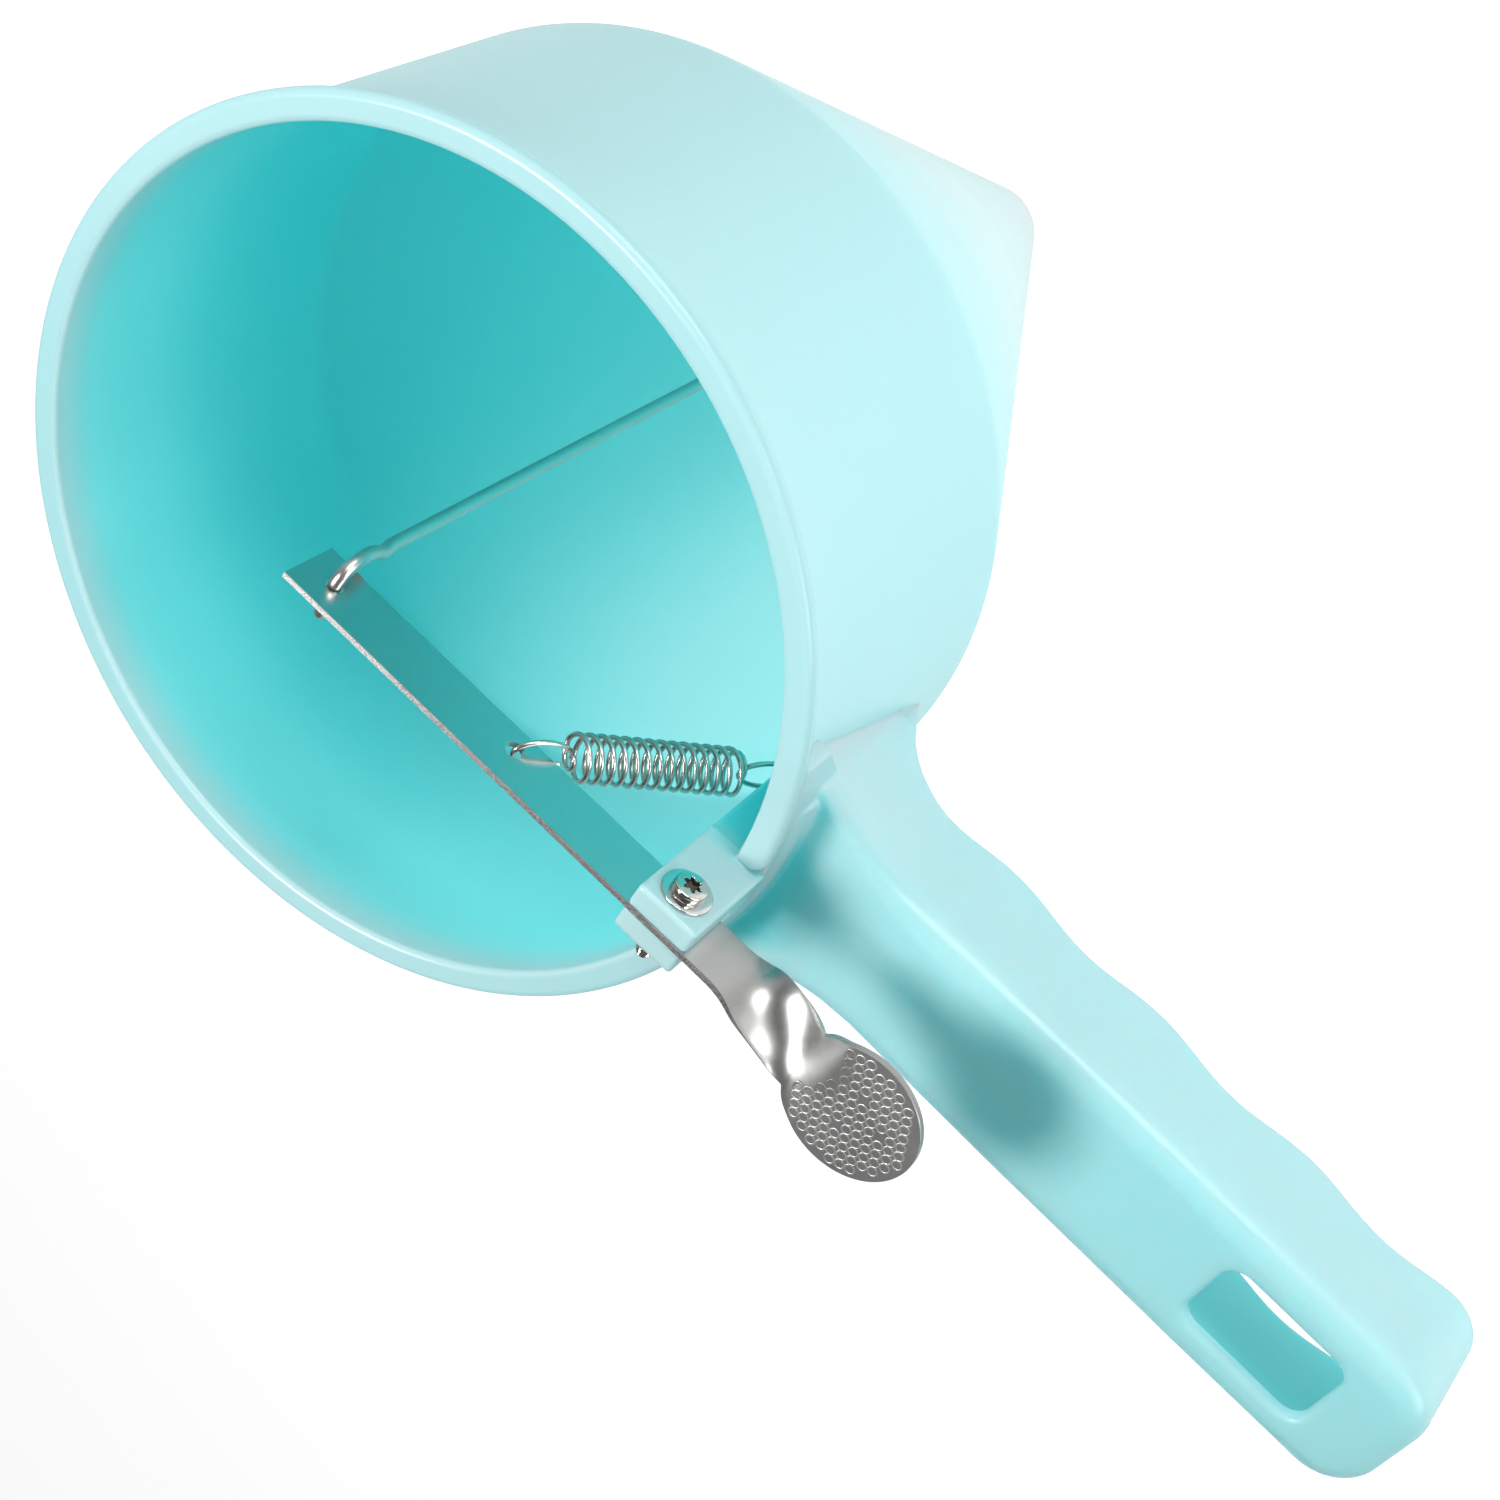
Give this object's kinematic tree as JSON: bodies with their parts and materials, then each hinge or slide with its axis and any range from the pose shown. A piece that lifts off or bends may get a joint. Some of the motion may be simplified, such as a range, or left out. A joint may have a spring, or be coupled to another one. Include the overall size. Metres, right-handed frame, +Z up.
{
  "type": "pancake batter dispenser",
  "caption": "Hand-held cone hopper with a hollow handle and a spring-return thumb lever that lifts a wire rod and plug off the outlet at its tip.",
  "frame": {"origin": "centre of the outlet's lower end, at the tip of the cone", "axes": "+Z up the hopper's axis towards the mouth, +X towards the handle, +Y to the side of the screw head"},
  "size_m": [0.2415, 0.1306, 0.2078],
  "materials": {
    "hopper_barrel": "semi-translucent turquoise polypropylene, glossy",
    "hopper_cone": "semi-translucent turquoise polypropylene, glossy",
    "handle": "semi-translucent turquoise polypropylene, glossy",
    "lever_bracket": "semi-translucent turquoise polypropylene, glossy",
    "spring_eyelet": "semi-translucent turquoise polypropylene, glossy",
    "pivot_screw": "bright nickel-plated steel",
    "pivot_washer": "bright plated steel",
    "lever": "stamped stainless steel, dull faces, bright sheared edge",
    "valve_rod": "drawn stainless wire",
    "valve_plug": "milky silicone, matt",
    "return_spring": "bright stainless spring wire"
  },
  "bodies": {
    "dispenser": {"hopper_barrel": "hopper_barrel", "hopper_cone": "hopper_cone", "handle": "handle", "lever_bracket": "lever_bracket", "spring_eyelet": "spring_eyelet", "pivot_screw": "pivot_screw", "pivot_washer": "pivot_washer", "return_spring": "return_spring"},
    "lever": {"lever": "lever"},
    "valve": {"valve_rod": "valve_rod", "valve_plug": "valve_plug"}
  },
  "joints": [
    {"name": "lever_press", "type": "hinge", "parent": "dispenser", "child": "lever", "pos_m": [0.0603, 0, 0.2019], "axis": [0, 1, 0], "range_deg": [0, 15], "stiffness_Nm_per_rad": 0.08, "springref_deg": -57.3, "deforming": ["return_spring"]},
    {"name": "valve_swing", "type": "hinge", "parent": "lever", "child": "valve", "pos_m": [-0.00248, 0, 0.20048], "axis": [0, 1, 0], "range_deg": [-15, 0]}
  ],
  "couplings": [
    {"joint": "valve_swing", "follows": "lever_press", "ratio": -1}
  ]
}
